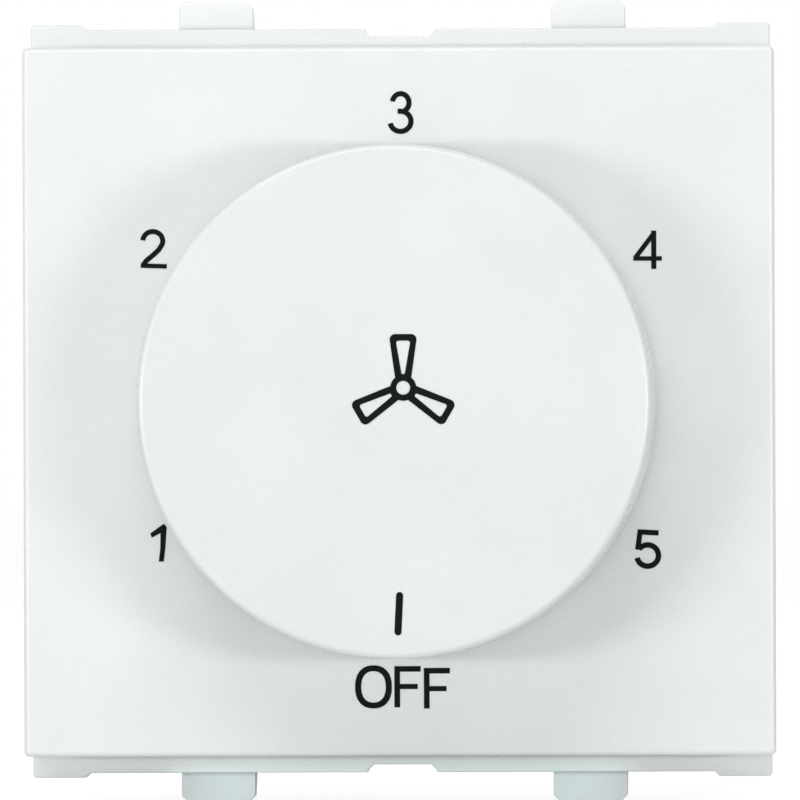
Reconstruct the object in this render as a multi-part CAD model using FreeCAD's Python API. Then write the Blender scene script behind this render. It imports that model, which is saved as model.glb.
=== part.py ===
import FreeCAD, Part
import math
import os

# Two-module rotary fan speed switch, five speeds and off, for a modular wiring frame.
# Millimetres. X right, Z up, Y into the wall, so the room side faces -Y.
# The origin lies on the knob's axis, in the plane of the flange's rear face, which seats on the frame.

# How far a cutting body runs past the faces it cuts, and how near counts as touching
overshoot = 1.0
touch = 1e-6

# Front cover
module_pitch = 24.0
module_count = 2
plate_height_reveal = 1.05
plate_thickness = 1.8
plate_standoff = 5.0
plate_edge_radius = 0.4
skirt_inset = 0.45
skirt_wall = 1.6
skirt_corner = 2.0
flange_thickness = 2.0
flange_side_relief = 0.25
flange_side_lip = 1.05
flange_lip = 2.2
flange_corner = 0.5
ear_width = 3.7
ear_height = 0.3
ear_slope = 0.35
notch_half_width = 2.2
notch_depth = 0.5
notch_corner = 0.35
rebate_depth = 1.5
rebate_clearance = 0.1
rebate_corner = 1.0
shaft_hole_clearance = 1.0

# Cover latches, which snap into windows in the housing's side walls
latch_height = 10.0
latch_width = 6.0
latch_thickness = 1.3
latch_wall_gap = 0.15
latch_catch_depth = 3.5
latch_nib_length = 3.0
latch_nib_height = 1.0
latch_tip = 0.8
latch_window_clearance = 0.15
latch_gusset = 1.1
latch_ramp_start = 0.6

# Rear housing
housing_height = 43.0
housing_wall = 1.6
housing_corner_radius = 2.0
housing_draft = 0.3
housing_rear_chamfer = 0.8
capacitor_headroom = 1.2

# Snap tongues, which hold the device in the frame
frame_thickness = 2.0
tongue_pitch = 24.0
tongue_width = 4.75
tongue_length = 14.0
tongue_slot = 0.9
tongue_start = 0.5
hook_height = 4.0
hook_catch_gap = 0.1
hook_land = 1.2
hook_length = 7.0
hook_corner = 0.35
hook_wall = 1.1

# Vents in the rear wall
vent_count = 7
vent_pitch = 4.4
vent_width = 1.5
vent_height = 15.0
vent_center_z = 6.0
vent_corner = 0.4

# Terminal bay
bay_height = 11.5
bay_depth = 11.5
bay_barrier = 2.0
bay_corner_radius = 0.8
boss_wall = 0.8
boss_end_wall = 1.0
guide_rib = 0.9
guide_rib_depth = 4.2
guide_rib_height = 6.4

# Terminals
terminal_plate_width = 8.6
terminal_top_gap = 0.6
terminal_plate_thickness = 1.2
terminal_leg_width = 3.0
terminal_collar_length = 1.6
terminal_collar_wall = 0.75
terminal_corner = 0.6
clamp_width = 8.2
clamp_height = 7.6
clamp_thickness = 1.2
clamp_opening = 2.2
clamp_travel = 2.0
clamp_groove_radius = 1.2
clamp_groove_depth = 0.3
clamp_groove_z = 2.3
screw_radius = 1.7
screw_hole_clearance = 0.06
screw_length = 8.6
screw_head_radius = 3.2
screw_head_height = 2.3
screw_slot_width = 0.9
screw_slot_depth = 1.2
screw_tip_gap = 0.5
screw_cross_radius = 2.0
part_gap = 0.1

# Circuit board
board_thickness = 1.6
board_clearance = 0.3
board_corner = 1.2
board_hole_clearance = 0.15
post_width = 5.0
post_inset = 3.2
board_screw_radius = 1.1
board_screw_length = 7.0
board_screw_head_radius = 2.1
board_screw_head_height = 1.5
board_screw_hole_clearance = 0.25
board_screw_slot_width = 0.5
board_screw_slot_depth = 0.7
solder_leg = 0.7
lead_stub = 0.35

# Rotary switch
position_count = 6
switch_front_gap = 2.2
switch_cover_thickness = 1.6
switch_wall = 1.5
switch_floor = 1.4
switch_foot = 1.0
cup_gap = 0.9
rotor_rim_gap = 0.6
rotor_play = 0.15
rotor_disc = 1.2
star_tip_radius = 8.6
star_lobe = 1.5
star_height = 3.7
shaft_radius = 3.0
shaft_flat = 0.8
shaft_engagement = 5.8
journal_radius = 4.5
journal_clearance = 0.06
pivot_radius = 2.0
pivot_length = 3.6
pivot_boss_wall = 0.8
spring_thickness = 0.35
spring_width = 2.8
spring_side_gap = 0.5
spring_bow_rise = 3.0
spring_nose_half = 1.6
spring_nose_flat = 0.5
spring_bow_facets = 12
spring_tail = 7.0
spring_gap = 0.1
peg_radius = 1.1
peg_angle = 35.0
peg_length = 2.6
stop_rib_half_angle = 12.0
clip_width = 4.0
clip_thickness = 1.2
clip_length = 4.0
clip_nib = 0.7
clip_nib_land = 0.3
clip_nib_height = 0.9

# Contacts
contact_thickness = 0.6
contact_length = 3.6
contact_width = 2.6
contact_rim = 2.9
contact_corner = 0.6
contact_slot_clearance = 0.1
ring_inner_radius = 5.2
ring_width = 1.6
bridge_thickness = 0.4
bridge_gap = 0.05
bridge_width = 3.0
bridge_hub_width = 1.8
bridge_hub_gap = 0.5
bridge_step = 0.8
bridge_slope = 1.2
bridge_flat = 1.5
bridge_dimple = 0.55
dimple_radius = 0.7

# Components behind the board
capacitor_width = 26.5
capacitor_depth = 19.0
large_capacitor_share = 0.55
small_capacitor_depth = 16.0
capacitor_spacing = 1.5
capacitor_top_gap = 2.9
capacitor_corner = 0.7
capacitor_foot = 1.0
capacitor_foot_width = 1.4
capacitor_lead = 0.8
capacitor_lead_pitch = 22.5
resistor_length = 9.0
resistor_radius = 1.6
resistor_lead = 0.7
resistor_lead_pitch = 13.0
resistor_spacing = 2.2
resistor_lift = 0.4
resistor_pair_gap = 3.0
resistor_room = 3.9

# Knob
knob_diameter = 32.8
knob_gap = 0.4
knob_height = 9.6
knob_wall = 1.5
knob_face_thickness = 1.6
knob_edge_radius = 0.9
knob_edge_facets = 2
knob_boss_radius = 5.6
knob_boss_recess = 0.5
knob_rib_count = 6
knob_rib_thickness = 1.0
knob_rib_recess = 1.4
grip_thickness = 0.4
grip_width = 3.6
grip_length = 5.0
grip_bow = 0.5

# Worked-out sizes of the cover and the housing
plate_width = module_pitch * module_count
flange_width = plate_width - 2 * flange_side_relief
flange_height = housing_height + 2 * flange_lip
plate_height = flange_height - 2 * plate_height_reveal
housing_width = flange_width - 2 * flange_side_lip
inner_half_width = housing_width / 2 - housing_wall
inner_half_height = housing_height / 2 - housing_wall
flange_front_y = -flange_thickness
plate_front_y = flange_front_y - plate_standoff
plate_back_y = plate_front_y + plate_thickness
housing_front_y = -rebate_depth
knob_rear_y = plate_front_y - knob_gap
knob_front_y = knob_rear_y - knob_height
knob_radius = knob_diameter / 2

# Worked-out depths of the rotary switch, from the front plate back to the circuit board
spring_arm_x = star_tip_radius + spring_side_gap + spring_thickness / 2
cup_inner_radius = spring_bow_rise + spring_arm_x + spring_thickness / 2 + cup_gap
cup_outer_radius = cup_inner_radius + switch_wall
rotor_disc_radius = cup_inner_radius - rotor_rim_gap
contact_radius = rotor_disc_radius - contact_rim
switch_cover_front_y = plate_back_y + switch_front_gap
switch_cover_rear_y = switch_cover_front_y + switch_cover_thickness
star_front_y = switch_cover_rear_y + rotor_play
star_rear_y = star_front_y + star_height
disc_rear_y = star_rear_y + rotor_disc
journal_front_y = plate_back_y + switch_front_gap / 2
contact_face_y = disc_rear_y + bridge_thickness + bridge_step + bridge_dimple + bridge_gap
switch_floor_y = contact_face_y + contact_thickness
switch_underside_y = switch_floor_y + switch_floor
board_front_y = switch_underside_y + switch_foot
board_rear_y = board_front_y + board_thickness
solder_end_y = board_rear_y + solder_leg
lead_end_y = board_front_y - lead_stub
shaft_end_y = knob_front_y + knob_face_thickness + knob_boss_recess

# Worked-out depths behind the board
cavity_rear_y = board_rear_y + capacitor_foot + capacitor_depth + capacitor_headroom
housing_rear_y = cavity_rear_y + housing_wall
bay_floor_y = housing_rear_y - bay_depth
bay_top_z = -housing_height / 2 + bay_height
terminal_x = (bay_barrier / 2 + inner_half_width) / 2
terminal_rear_y = bay_floor_y + terminal_plate_thickness
clamp_front_y = terminal_rear_y + clamp_opening
clamp_rear_y = clamp_front_y + clamp_thickness
screw_tip_y = clamp_rear_y - screw_length
boss_hole_end_y = screw_tip_y - clamp_travel - screw_tip_gap
screw_hole_radius = screw_radius + screw_hole_clearance
terminal_collar_radius = screw_hole_radius + terminal_collar_wall
boss_hole_radius = terminal_collar_radius + part_gap
boss_half_width = boss_hole_radius + boss_wall
terminal_plate_height = 2 * (boss_half_width + part_gap + terminal_plate_thickness)
terminal_z = bay_top_z - terminal_top_gap - terminal_plate_height / 2
board_half_width = inner_half_width - board_clearance
board_half_height = inner_half_height - board_clearance
post_x = board_half_width - post_inset
post_z = board_half_height - post_inset
capacitor_stack_bottom_z = bay_top_z + housing_wall + resistor_room
capacitor_stack = inner_half_height - capacitor_top_gap - capacitor_spacing - capacitor_stack_bottom_z
large_capacitor_height = large_capacitor_share * capacitor_stack
small_capacitor_height = capacitor_stack - large_capacitor_height
large_capacitor_z = inner_half_height - capacitor_top_gap - large_capacitor_height / 2
large_capacitor_bottom_z = large_capacitor_z - large_capacitor_height / 2
small_capacitor_z = large_capacitor_bottom_z - capacitor_spacing - small_capacitor_height / 2
small_capacitor_bottom_z = small_capacitor_z - small_capacitor_height / 2
resistor_z = small_capacitor_bottom_z - resistor_spacing - resistor_radius
resistor_x = (resistor_lead_pitch + resistor_pair_gap) / 2


def vec(x, y, z):
    return FreeCAD.Vector(x, y, z)


AXIS = vec(0, 1, 0)
ORIGIN = vec(0, 0, 0)


def block(x_from, x_to, y_from, y_to, z_from, z_to):
    """A box between two limits along each axis."""
    return Part.makeBox(x_to - x_from, y_to - y_from, z_to - z_from, vec(x_from, y_from, z_from))


def rod(radius, y_from, y_to, x=0.0, z=0.0):
    """A round bar along the depth."""
    return Part.makeCylinder(radius, y_to - y_from, vec(x, y_from, z), AXIS)


def drafted_slab(width, height, radius, y_from, y_to, draft):
    """A block whose sides draw in by the draft towards the rear, its four long edges rounded."""
    x = width / 2
    z = height / 2
    wedge = Part.makeWedge(-x, y_from, -z, draft - z, draft - x, x, y_to, z, z - draft, x - draft)
    return filleted(wedge, radius, lambda edge: edge.BoundBox.YLength > y_to - y_from - touch)


def section_along_x(points, x_from, x_to):
    """A profile of (depth, height) points, drawn out sideways."""
    corners = [vec(x_from, y, z) for y, z in points]
    outline = Part.makePolygon(corners + corners[:1])
    return Part.Face(outline).extrude(vec(x_to - x_from, 0, 0))


def outline_along_y(points, y_from, y_to):
    """A profile of (x, z) points, drawn out along the depth."""
    corners = [vec(x, y_from, z) for x, z in points]
    outline = Part.makePolygon(corners + corners[:1])
    return Part.Face(outline).extrude(vec(0, y_to - y_from, 0))


def outline_along_z(points, z_from, z_to):
    """A profile of (x, depth) points, drawn out upwards."""
    corners = [vec(x, y, z_from) for x, y in points]
    outline = Part.makePolygon(corners + corners[:1])
    return Part.Face(outline).extrude(vec(0, 0, z_to - z_from))


def all_quarters(points):
    """A closed (x, z) outline from its upper right quarter, mirrored both ways."""
    right = points + [(x, -z) for x, z in reversed(points)]
    return right + [(-x, z) for x, z in reversed(right)]


def cut_slab(width, height, corner, y_from, y_to, x=0.0, z=0.0):
    """A plate with its corners cut off, parallel to the wall."""
    quarter = [(width / 2 - corner, height / 2), (width / 2, height / 2 - corner)]
    return outline_along_y([(x + across, z + up) for across, up in all_quarters(quarter)], y_from, y_to)


def square_bar(width, y_from, y_to, x, z):
    """A square bar along the depth."""
    half = width / 2
    return block(x - half, x + half, y_from, y_to, z - half, z + half)


def turned(profile):
    """A solid turned about the knob's axis from (radius, depth) points."""
    corners = [vec(radius, y, 0) for radius, y in profile]
    outline = Part.makePolygon(corners + corners[:1])
    return Part.Face(outline).revolve(ORIGIN, AXIS, 360)


def swung(shape, angle):
    """A copy turned about the knob's axis, anticlockwise as seen from the room."""
    copy = shape.copy()
    copy.rotate(ORIGIN, vec(0, -1, 0), angle)
    return copy


def mirrored_x(shape):
    return shape.mirror(ORIGIN, vec(1, 0, 0))


def mirrored_z(shape):
    return shape.mirror(ORIGIN, vec(0, 0, 1))


def four_ways(shape):
    """A shape and its mirror images left to right and top to bottom."""
    pair = [shape, mirrored_x(shape)]
    return pair + [mirrored_z(item) for item in pair]


def joined(first, others):
    """One solid from touching shapes, with the seams between flush faces removed."""
    return first.multiFuse(others).removeSplitter()


def filleted(shape, radius, wanted):
    """Rounds the edges that the test picks."""
    return shape.makeFillet(radius, [edge for edge in shape.Edges if wanted(edge)])


def chamfered(shape, size, wanted):
    """Cuts off the edges that the test picks."""
    return shape.makeChamfer(size, [edge for edge in shape.Edges if wanted(edge)])


def at_depth(y):
    """A test for edges that lie wholly in one plane parallel to the wall."""
    def test(edge):
        return abs(edge.BoundBox.YMin - y) < touch and abs(edge.BoundBox.YMax - y) < touch
    return test


def bent_strip(path_edges, thickness, direction):
    """Sheet of even thickness that follows a path, drawn out across its width."""
    outline = Part.Wire(path_edges).makeOffset2D(thickness / 2, 0, False, False, False)
    return Part.Face(outline).extrude(direction)


def slotted_screw(radius, length, head_radius, head_height, slot_width, slot_depth):
    """A slotted screw along the depth, its seat at the origin, its head behind and its tip in front."""
    solid = rod(radius, -length, 0).fuse(rod(head_radius, 0, head_height))
    slot = block(-slot_width / 2, slot_width / 2, head_height - slot_depth, head_height + overshoot,
                 -head_radius - overshoot, head_radius + overshoot)
    return solid.cut(slot)


def cover_latch():
    """One latch leg of the cover, at the upper right, with its outward nib and root gusset."""
    outer_x = inner_half_width - latch_wall_gap
    inner_x = outer_x - latch_thickness
    nib_x = outer_x + latch_nib_height
    nib_end_y = latch_catch_depth + latch_nib_length
    tip_y = nib_end_y + latch_tip
    half = latch_width / 2
    leg = outline_along_z([
        (inner_x, plate_back_y),
        (outer_x, plate_back_y),
        (outer_x, latch_catch_depth),
        (nib_x, latch_catch_depth),
        (nib_x, latch_catch_depth + latch_ramp_start),
        (outer_x, nib_end_y),
        (outer_x, tip_y),
        (inner_x + latch_thickness / 2, tip_y),
        (inner_x, nib_end_y),
    ], latch_height - half, latch_height + half)
    half = latch_gusset / 2
    gusset = outline_along_z([
        (inner_x - plate_thickness, plate_back_y),
        (inner_x, plate_back_y),
        (inner_x, housing_front_y),
    ], latch_height - half, latch_height + half)
    return leg.fuse(gusset)


def flange():
    """The flange, with a raised ear at each corner and a notch in the middle of its long edges."""
    half_width = flange_width / 2
    half_height = flange_height / 2
    ear_z = half_height + ear_height
    quarter = [
        (notch_half_width - notch_corner, half_height - notch_depth),
        (notch_half_width, half_height - notch_depth + notch_corner),
        (notch_half_width, half_height),
        (half_width - ear_width, half_height),
        (half_width - ear_width + ear_slope, ear_z),
        (half_width - flange_corner, ear_z),
        (half_width, ear_z - flange_corner),
    ]
    return outline_along_y(all_quarters(quarter), flange_front_y, 0)


def front_cover():
    """Face plate, skirt, flange and latch legs, moulded in one."""
    half_width = plate_width / 2
    half_height = plate_height / 2
    plate = block(-half_width, half_width, plate_front_y, plate_back_y, -half_height, half_height)
    plate = filleted(plate, plate_edge_radius, at_depth(plate_front_y))
    skirt_x = half_width - skirt_inset
    skirt_z = half_height - skirt_inset
    skirt = block(-skirt_x, skirt_x, plate_back_y, flange_front_y, -skirt_z, skirt_z)
    cavity = cut_slab(2 * (skirt_x - skirt_wall), 2 * (skirt_z - skirt_wall), skirt_corner,
                      plate_back_y, overshoot)
    rebate = cut_slab(housing_width + 2 * rebate_clearance, housing_height + 2 * rebate_clearance,
                      rebate_corner, housing_front_y, overshoot)
    shaft_hole = rod(shaft_radius + shaft_hole_clearance, plate_front_y - overshoot,
                     plate_back_y + overshoot)
    shell = joined(plate, [skirt, flange()]).cut([cavity, rebate, shaft_hole])
    return joined(shell, four_ways(cover_latch()))


def snap_tongue_cuts():
    """The slots that free one tongue in the top wall, at the right."""
    x = tongue_pitch / 2
    reach = tongue_width / 2 + tongue_slot
    low_z = inner_half_height - overshoot
    high_z = housing_height / 2 + overshoot
    end_y = tongue_start + tongue_length
    cuts = [block(x - reach, x + reach, tongue_start, tongue_start + tongue_slot, low_z, high_z)]
    for left in (x - reach, x + reach - tongue_slot):
        cuts.append(block(left, left + tongue_slot, tongue_start, end_y, low_z, high_z))
    return cuts


def snap_hook():
    """The cored wedge on one tongue, at the upper right: a flat catch in front and a long ramp behind."""
    x = tongue_pitch / 2
    half = tongue_width / 2
    wall_z = housing_height / 2
    tip_z = wall_z + hook_height
    catch_y = frame_thickness + hook_catch_gap
    root_z = wall_z - housing_wall / 2
    wedge = section_along_x([
        (catch_y, root_z),
        (catch_y, tip_z),
        (catch_y + hook_land, tip_z),
        (catch_y + hook_length, wall_z - housing_draft),
        (catch_y + hook_length, root_z),
    ], x - half, x + half)
    wedge = chamfered(wedge, hook_corner, lambda edge: edge.BoundBox.ZMin > tip_z - touch
                      and edge.BoundBox.XLength < touch)
    core_z = inner_half_height - overshoot
    core = section_along_x([
        (catch_y + hook_wall, core_z),
        (catch_y + hook_wall, tip_z - hook_wall),
        (catch_y + hook_length - 2 * hook_wall, core_z),
    ], x - half + hook_wall, x + half - hook_wall)
    return wedge, core


def latch_window():
    """The window for the cover's upper right latch."""
    return block(inner_half_width - overshoot, housing_width / 2 + overshoot,
                 latch_catch_depth - latch_window_clearance,
                 latch_catch_depth + latch_nib_length + latch_window_clearance,
                 latch_height - latch_width / 2 - latch_window_clearance,
                 latch_height + latch_width / 2 + latch_window_clearance)


def housing_cavity():
    """The room for the works: full depth above, and stopped short of the terminal bay below."""
    space = drafted_slab(2 * inner_half_width, 2 * inner_half_height, housing_corner_radius / 2,
                         housing_front_y, cavity_rear_y, housing_draft)
    kept = block(-housing_width, housing_width, bay_floor_y - housing_wall, housing_rear_y,
                 -housing_height, bay_top_z + housing_wall)
    return space.cut(kept)


def bay_pocket():
    """The right half of the terminal bay, open to the rear and downwards."""
    pocket = block(bay_barrier / 2, inner_half_width - housing_draft, bay_floor_y,
                   housing_rear_y + overshoot, -housing_height, bay_top_z)
    return filleted(pocket, bay_corner_radius, lambda edge: edge.BoundBox.ZMin > bay_top_z - touch
                    and edge.BoundBox.XLength < touch)


def terminal_boss():
    """The blind square boss in front of the bay's floor that clears the right terminal screw."""
    return square_bar(2 * boss_half_width, boss_hole_end_y - boss_end_wall, bay_floor_y - housing_wall / 2,
                      terminal_x, terminal_z)


def guide_ribs():
    """The pair of ribs that keep the right clamp plate square."""
    ribs = []
    for side in (-1, 1):
        near = terminal_x + side * (terminal_plate_width / 2 + part_gap)
        far = near + side * guide_rib
        ribs.append(block(min(near, far), max(near, far), bay_floor_y - housing_wall / 2,
                          bay_floor_y + guide_rib_depth, bay_top_z - guide_rib_height,
                          bay_top_z + housing_wall / 2))
    return ribs


def leg_slot(y_from, y_to):
    """The slot for the right terminal's leg, in the bay's floor or in the board."""
    top_z = terminal_z + terminal_plate_height / 2
    half = terminal_leg_width / 2 + part_gap
    return block(terminal_x - half, terminal_x + half, y_from, y_to,
                 top_z - terminal_plate_thickness - part_gap, top_z + part_gap)


def board_posts():
    """Four square posts that carry the board. Two on a diagonal are drilled for its screws."""
    posts = []
    drills = []
    for side in (-1, 1):
        for level in (-1, 1):
            end_y = cavity_rear_y if level > 0 else bay_floor_y - housing_wall
            x = side * post_x
            z = level * post_z
            posts.append(square_bar(post_width, board_rear_y, end_y + housing_wall / 2, x, z))
            if side == level:
                drills.append(rod(board_screw_radius, board_rear_y - overshoot,
                                  board_rear_y + board_screw_length, x, z))
    return posts, drills


def rear_vents():
    """Upright slots in the rear wall, above the terminal bay."""
    first_x = -vent_pitch * (vent_count - 1) / 2
    return [cut_slab(vent_width, vent_height, vent_corner, cavity_rear_y - overshoot,
                     housing_rear_y + overshoot, first_x + vent_pitch * index, vent_center_z)
            for index in range(vent_count)]


def rear_housing():
    """Open-fronted box with snap tongues, latch windows, vents, board posts and the terminal bay."""
    shell = drafted_slab(housing_width, housing_height, housing_corner_radius, housing_front_y,
                         housing_rear_y, housing_draft)
    shell = chamfered(shell, housing_rear_chamfer, at_depth(housing_rear_y))
    pocket = bay_pocket()
    shell = shell.cut([housing_cavity(), pocket, mirrored_x(pocket)])
    posts, drills = board_posts()
    ribs = guide_ribs()
    boss = terminal_boss()
    hook, core = snap_hook()
    fittings = posts + ribs + [mirrored_x(rib) for rib in ribs] + [boss, mirrored_x(boss)] + four_ways(hook)
    shell = joined(shell, fittings)
    cuts = four_ways(core) + four_ways(latch_window()) + drills + rear_vents()
    for cut in snap_tongue_cuts():
        cuts += four_ways(cut)
    screw_room = rod(boss_hole_radius, boss_hole_end_y, bay_floor_y + overshoot, terminal_x, terminal_z)
    slot = leg_slot(bay_floor_y - housing_wall - overshoot, bay_floor_y + overshoot)
    return shell.cut(cuts + [screw_room, mirrored_x(screw_room), slot, mirrored_x(slot)])


def board_component_holes(y_from, y_to):
    """Holes in the board for every lead, leg and screw."""
    capacitor_hole = capacitor_lead + 2 * board_hole_clearance
    resistor_hole = resistor_lead + 2 * board_hole_clearance
    leg_hole = leg_slot(y_from, y_to)
    holes = [leg_hole, mirrored_x(leg_hole)]
    for side in (-1, 1):
        for z in (large_capacitor_z, small_capacitor_z):
            holes.append(square_bar(capacitor_hole, y_from, y_to, side * capacitor_lead_pitch / 2, z))
        for end in (-1, 1):
            x = side * resistor_x + end * resistor_lead_pitch / 2
            holes.append(square_bar(resistor_hole, y_from, y_to, x, resistor_z))
        holes.append(rod(board_screw_radius + board_screw_hole_clearance, y_from, y_to, side * post_x,
                         side * post_z))
    return holes


def circuit_board():
    """The board, which the switch stands on and the components hang from."""
    board = cut_slab(2 * board_half_width, 2 * board_half_height, board_corner, board_front_y, board_rear_y)
    y_from = board_front_y - overshoot
    y_to = board_rear_y + overshoot
    return board.cut(board_component_holes(y_from, y_to) + contact_leg_slots(y_from, y_to))


def contact_leg_box(radius_from, clearance, y_from, y_to):
    """The room of one contact leg, at three o'clock."""
    half = contact_width / 2 + clearance
    return block(radius_from - clearance, radius_from + contact_thickness + clearance, y_from, y_to,
                 -half, half)


def speed_angles():
    """The five speed positions, clockwise from off, as seen from the room."""
    step = 360.0 / position_count
    return [270.0 - step * index for index in range(1, position_count)]


def speed_leg_radius():
    return contact_radius + contact_length / 2 - contact_thickness


def ring_leg_radius():
    return ring_inner_radius + (ring_width - contact_thickness) / 2


def contact_leg_slots(y_from, y_to):
    """Slots for the speed contacts' legs and the common ring's leg."""
    slots = [swung(contact_leg_box(speed_leg_radius(), contact_slot_clearance, y_from, y_to), angle)
             for angle in speed_angles()]
    slots.append(swung(contact_leg_box(ring_leg_radius(), contact_slot_clearance, y_from, y_to), 270.0))
    return slots


def speed_contact(angle):
    """One fixed contact: a pad on the switch floor with a leg down through the board."""
    half = contact_width / 2
    inner = contact_radius - contact_length / 2
    outer = contact_radius + contact_length / 2
    pad = outline_along_y([
        (outer, half),
        (outer, -half),
        (inner + contact_corner, -half),
        (inner, contact_corner - half),
        (inner, half - contact_corner),
        (inner + contact_corner, half),
    ], contact_face_y, switch_floor_y)
    leg = contact_leg_box(speed_leg_radius(), 0, switch_floor_y, solder_end_y)
    return swung(joined(pad, [leg]), angle)


def common_contact():
    """The ring that the bridge always touches, with its leg at the off position."""
    ring = rod(ring_inner_radius + ring_width, contact_face_y, switch_floor_y)
    ring = ring.cut(rod(ring_inner_radius, contact_face_y, switch_floor_y))
    leg = contact_leg_box(ring_leg_radius(), 0, switch_floor_y, solder_end_y)
    return joined(ring, [swung(leg, 270.0)])


def octagon(apothem, y_from, y_to):
    """An eight-sided prism about the knob's axis."""
    return cut_slab(2 * apothem, 2 * apothem, apothem * (1 - math.tan(math.pi / 8)), y_from, y_to)


def switch_clip():
    """The clip on the base's right wall that hooks over the switch cover."""
    wall_x = cup_outer_radius
    foot_y = switch_cover_rear_y + clip_length
    nib_x = wall_x - clip_nib
    half = clip_width / 2
    return outline_along_z([
        (wall_x, foot_y),
        (wall_x, switch_cover_front_y),
        (nib_x, switch_cover_front_y),
        (nib_x, switch_cover_front_y - clip_nib_land),
        (wall_x, switch_cover_front_y - clip_nib_height),
        (wall_x + clip_thickness, switch_cover_front_y - clip_nib_height),
        (wall_x + clip_thickness, foot_y - clip_thickness),
    ], -half, half)


def switch_base():
    """Eight-sided cup that holds the contacts, with a pivot boss, two clips and an off land."""
    cup = octagon(cup_outer_radius, switch_cover_rear_y, board_front_y)
    cup = cup.cut([rod(cup_inner_radius, switch_cover_rear_y - overshoot, switch_floor_y),
                   octagon(cup_inner_radius - switch_foot, switch_underside_y, board_front_y + overshoot)])
    hole_radius = pivot_radius + journal_clearance
    boss = rod(hole_radius + pivot_boss_wall, contact_face_y - part_gap, switch_floor_y)
    half_length = contact_length / 2
    half_width = contact_width / 2
    land = block(contact_radius - half_length, contact_radius + half_length, contact_face_y, switch_floor_y,
                 -half_width, half_width)
    clip = switch_clip()
    cup = joined(cup, [boss, swung(land, 270.0), clip, mirrored_x(clip)])
    pivot_hole = rod(hole_radius, contact_face_y - overshoot, disc_rear_y + pivot_length + part_gap)
    slots = contact_leg_slots(switch_floor_y - overshoot, switch_underside_y + overshoot)
    return cup.cut([pivot_hole] + slots)


def spring_pegs():
    """Pegs and a stop rib behind the switch cover that hold the detent spring by its bow."""
    end_y = star_front_y + peg_length
    reach = spring_arm_x - spring_thickness / 2 - spring_gap - peg_radius
    angle = math.radians(peg_angle)
    pieces = []
    for side in (-1, 1):
        pieces.append(rod(peg_radius, switch_cover_rear_y, end_y, side * reach * math.sin(angle),
                          spring_bow_rise + reach * math.cos(angle)))
    bow_outer = spring_arm_x + spring_thickness / 2 + spring_gap
    rib_outer = cup_gap - 2 * spring_gap + bow_outer
    rib = rod(rib_outer, switch_cover_rear_y, end_y, 0, spring_bow_rise)
    rib = rib.cut(rod(bow_outer, switch_cover_rear_y, end_y, 0, spring_bow_rise))
    spread = rib_outer * 2 * math.tan(math.radians(stop_rib_half_angle))
    wedge = outline_along_y([(0, spring_bow_rise), (spread, spring_bow_rise + 2 * rib_outer),
                             (-spread, spring_bow_rise + 2 * rib_outer)], switch_cover_rear_y, end_y)
    pieces.append(rib.common(wedge))
    return pieces


def switch_cover():
    """Lid of the switch, with the front journal bearing and the spring pegs."""
    lid = octagon(cup_outer_radius - part_gap, switch_cover_front_y, switch_cover_rear_y)
    lid = joined(lid, spring_pegs())
    journal = rod(journal_radius + journal_clearance, switch_cover_front_y - overshoot,
                  switch_cover_rear_y + overshoot)
    return lid.cut(journal)


def star():
    """The detent wheel: one dip for each position, the first at three o'clock, and a tip between."""
    points = []
    for index in range(2 * position_count):
        angle = math.pi * index / position_count
        radius = star_tip_radius if index % 2 else star_tip_radius - star_lobe
        points.append((radius * math.cos(angle), radius * math.sin(angle)))
    return outline_along_y(points, star_front_y, star_rear_y)


def rotor_spindle():
    """Pivot, contact carrier disc, detent star, journal and flatted shaft, moulded in one."""
    disc = rod(rotor_disc_radius, star_rear_y, disc_rear_y)
    journal = rod(journal_radius, journal_front_y, star_front_y)
    pivot = rod(pivot_radius, disc_rear_y, disc_rear_y + pivot_length)
    shaft = rod(shaft_radius, shaft_end_y, journal_front_y)
    flat = block(-shaft_radius, shaft_radius, shaft_end_y - overshoot, shaft_end_y + shaft_engagement,
                 shaft_radius - shaft_flat, shaft_radius + overshoot)
    return joined(star(), [disc, journal, pivot, shaft.cut(flat)])


def spring_edge(offset):
    """One edge of the spring strip from its right tail over the bow to its left tail."""
    arm = spring_arm_x + offset
    apex = star_tip_radius - star_lobe + spring_gap + spring_thickness / 2 + offset
    right = [(arm, -spring_tail), (arm, -spring_nose_half), (apex, -spring_nose_flat),
             (apex, spring_nose_flat), (arm, spring_nose_half)]
    bow = []
    for index in range(spring_bow_facets + 1):
        angle = math.pi * index / spring_bow_facets
        bow.append((arm * math.cos(angle), spring_bow_rise + arm * math.sin(angle)))
    return right + bow + [(-x, z) for x, z in reversed(right)]


def detent_spring():
    """Bow of spring strip that rides the star with a nose on each side."""
    half = spring_thickness / 2
    y_from = star_front_y + (star_height - spring_width) / 2
    outline = spring_edge(half) + spring_edge(-half)[::-1]
    return outline_along_y(outline, y_from, y_from + spring_width)


def bridge_arm(reach, angle):
    """One sprung arm of the contact bridge, stepped down to a round dimple at its reach."""
    half = bridge_width / 2
    start = pivot_radius + bridge_hub_gap + bridge_hub_width / 2
    step_to = max(reach - bridge_flat, start + bridge_thickness)
    step_from = max(step_to - bridge_slope, start + bridge_thickness / 4)
    high = disc_rear_y
    low = disc_rear_y + bridge_step
    near_side = [(start, high), (step_from, high), (step_to, low), (reach + dimple_radius, low)]
    far_side = [(x, y + bridge_thickness) for x, y in reversed(near_side)]
    arm = outline_along_z(near_side + far_side, -half, half)
    dimple = rod(dimple_radius, low + bridge_thickness, contact_face_y - bridge_gap, reach, 0)
    return swung(joined(arm, [dimple]), angle)


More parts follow.
